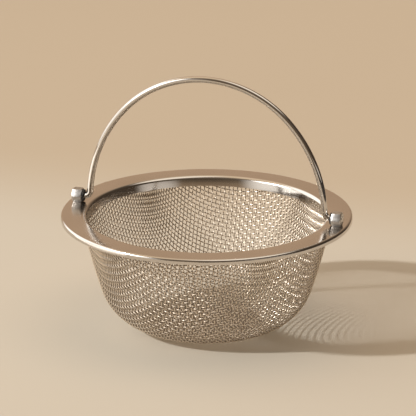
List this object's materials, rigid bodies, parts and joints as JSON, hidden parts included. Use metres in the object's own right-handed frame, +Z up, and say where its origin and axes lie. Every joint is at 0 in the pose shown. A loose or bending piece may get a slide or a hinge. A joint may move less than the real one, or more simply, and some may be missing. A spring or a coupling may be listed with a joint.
{
  "type": "sink strainer",
  "caption": "Woven wire sink strainer bowl hung from a wide polished rim, with an arched wire handle that folds flat on two hexagonal pivot bushes.",
  "frame": {"origin": "under the middle of the bowl, on the surface that it stands on", "axes": "+Z up through the middle of the bowl, X along the pivot axis of the handle, +Y away from the picture's viewer"},
  "size_m": [0.135, 0.135, 0.1199],
  "materials": {
    "polished_steel": "mirror-polished stainless steel with faint turning marks",
    "band_steel": "plain stainless steel strip",
    "mesh_steel": "bright drawn stainless wire",
    "wire_steel": "polished stainless wire and bar",
    "dark_nylon": "black nylon"
  },
  "bodies": {
    "basket": {"rim_flange": "polished_steel", "clamp_ring": "band_steel", "mesh_warp": "mesh_steel", "mesh_weft": "mesh_steel", "left_hex_bush": "wire_steel", "right_hex_bush": "wire_steel", "left_washer": "dark_nylon", "right_washer": "dark_nylon"},
    "bail": {"bail_handle": "wire_steel"}
  },
  "joints": [
    {"name": "bail_swing", "type": "hinge", "parent": "basket", "child": "bail", "pos_m": [0, 0, 0.0571], "axis": [1, 0, 0], "range_deg": [-91, 91]}
  ]
}
